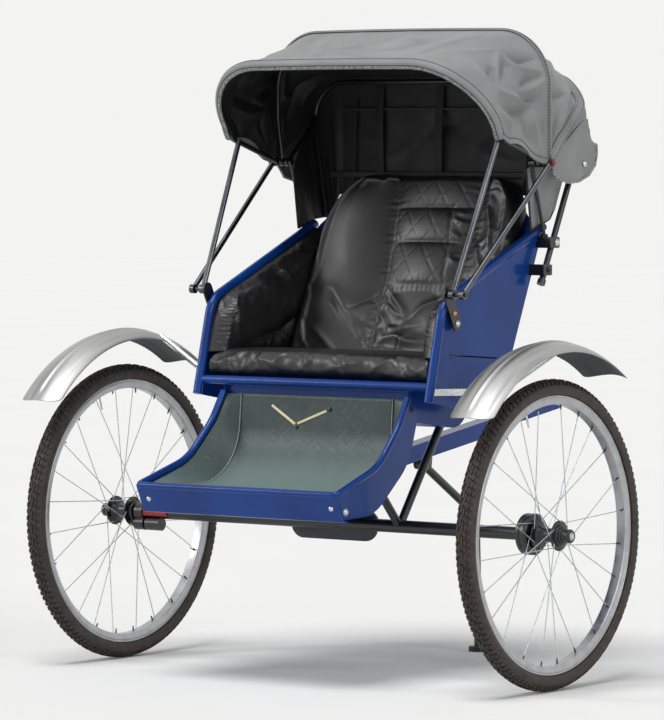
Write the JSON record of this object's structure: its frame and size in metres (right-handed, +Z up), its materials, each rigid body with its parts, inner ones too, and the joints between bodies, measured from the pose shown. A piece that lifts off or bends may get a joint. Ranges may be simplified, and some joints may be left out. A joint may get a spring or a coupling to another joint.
{
  "type": "cycle rickshaw passenger unit",
  "caption": "Two-wheeled passenger tub of a cycle rickshaw with a padded seat, folding hood, footboard, mudguards, a coupling boom and a parking leg.",
  "frame": {"origin": "middle of the bounding box on the ground, in the vehicle's mid plane", "axes": "+Z up; -Y is the way the passenger faces, the footboard's side; +Y runs back along the coupling boom; +X is the passenger's left when seated, seen as the right side from the front"},
  "size_m": [1.36, 1.331, 1.509],
  "materials": {
    "frame_blue": "gloss royal blue paint",
    "frame_black": "gloss black paint",
    "bright_steel": "plated steel, lightly worn",
    "dark_steel": "plain steel rod, dulled",
    "guard_aluminium": "polished sheet",
    "rim_steel": "plated, semi bright",
    "tyre_rubber": "brown black rubber",
    "foot_rubber": "matt",
    "mat_rubber": "grey green sheet, matt",
    "leatherette": "satin black, quilted",
    "hood_cloth": "grey canvas, dark inside",
    "brake_red": "red, glossy"
  },
  "bodies": {
    "body": {"axle": "frame_black", "axle_plate": "frame_blue", "boom_sleeve": "frame_blue", "boom_bar": "frame_blue", "frame_legs": "frame_blue", "tub_side_left": "frame_blue", "tub_side_right": "frame_blue", "edge_tubes": "frame_blue", "tub_back": "frame_blue", "seat_pan": "frame_blue", "seat_rail": "frame_blue", "seat_box": "frame_blue", "foot_rims": "frame_blue", "foot_side_left": "frame_blue", "foot_side_right": "frame_blue", "foot_floor": "frame_blue", "foot_mat": "mat_rubber", "foot_lip": "frame_blue", "seat_cushion": "leatherette", "back_pad": "leatherette", "arm_pad_left": "leatherette", "arm_pad_right": "leatherette", "mudguard_left": "guard_aluminium", "mudguard_right": "guard_aluminium", "guard_stays": "frame_blue", "hood_brackets": "frame_blue", "hood_struts": "bright_steel", "hood_braces": "dark_steel", "rear_posts": "frame_black", "hood_clamps": "frame_blue", "hood_curtain": "hood_cloth", "leg_bracket": "frame_blue", "brake_collar": "frame_black", "brake_sleeve": "brake_red"},
    "wheel_left": {"tyre_left": "tyre_rubber", "rim_left": "rim_steel", "spokes_left": "bright_steel", "hub_left": "frame_black"},
    "wheel_right": {"tyre_right": "tyre_rubber", "rim_right": "rim_steel", "spokes_right": "bright_steel", "hub_right": "frame_black"},
    "hood_rear": {"bow_rear": "frame_black", "hood_rear_panel": "hood_cloth", "hood_flaps": "hood_cloth"},
    "hood_mid": {"bow_mid": "frame_black", "hood_front_panel": "hood_cloth"},
    "hood_front": {"bow_front": "frame_black"},
    "prop_left": {"prop_left": "bright_steel"},
    "prop_right": {"prop_right": "bright_steel"},
    "stand": {"stand_leg": "frame_black", "leg_foot": "foot_rubber"}
  },
  "joints": [
    {"name": "wheel_left_spin", "type": "hinge", "parent": "body", "child": "wheel_left", "pos_m": [-0.618, -0.2945, 0.355], "axis": [1, 0, 0], "continuous": true},
    {"name": "wheel_right_spin", "type": "hinge", "parent": "body", "child": "wheel_right", "pos_m": [0.618, -0.2945, 0.355], "axis": [1, 0, 0], "continuous": true},
    {"name": "hood_fold", "type": "hinge", "parent": "body", "child": "hood_rear", "pos_m": [0, 0.0235, 1.196], "axis": [-1, 0, 0], "range_deg": [0, 61], "deforming": ["hood_curtain"]},
    {"name": "hood_mid_fold", "type": "hinge", "parent": "hood_rear", "child": "hood_mid", "pos_m": [0, 0.0235, 1.196], "axis": [-1, 0, 0], "range_deg": [0, 25], "deforming": ["hood_rear_panel"]},
    {"name": "hood_front_fold", "type": "hinge", "parent": "hood_mid", "child": "hood_front", "pos_m": [0, 0.0235, 1.196], "axis": [-1, 0, 0], "range_deg": [0, 38], "deforming": ["hood_front_panel"]},
    {"name": "prop_left_swing", "type": "hinge", "parent": "body", "child": "prop_left", "pos_m": [0, -0.3125, 0.896], "axis": [-1, 0, 0], "range_deg": [0, 20]},
    {"name": "prop_right_swing", "type": "hinge", "parent": "body", "child": "prop_right", "pos_m": [0, -0.3125, 0.896], "axis": [-1, 0, 0], "range_deg": [0, 20]},
    {"name": "stand_fold", "type": "hinge", "parent": "body", "child": "stand", "pos_m": [0, 0.0805, 0.472], "axis": [-1, 0, 0], "range_deg": [0, 90]}
  ],
  "couplings": [
    {"joint": "hood_mid_fold", "follows": "hood_fold", "ratio": 0.4098},
    {"joint": "hood_front_fold", "follows": "hood_fold", "ratio": 0.6229},
    {"joint": "prop_left_swing", "follows": "hood_fold", "ratio": 0.3278},
    {"joint": "prop_right_swing", "follows": "hood_fold", "ratio": 0.3278}
  ]
}
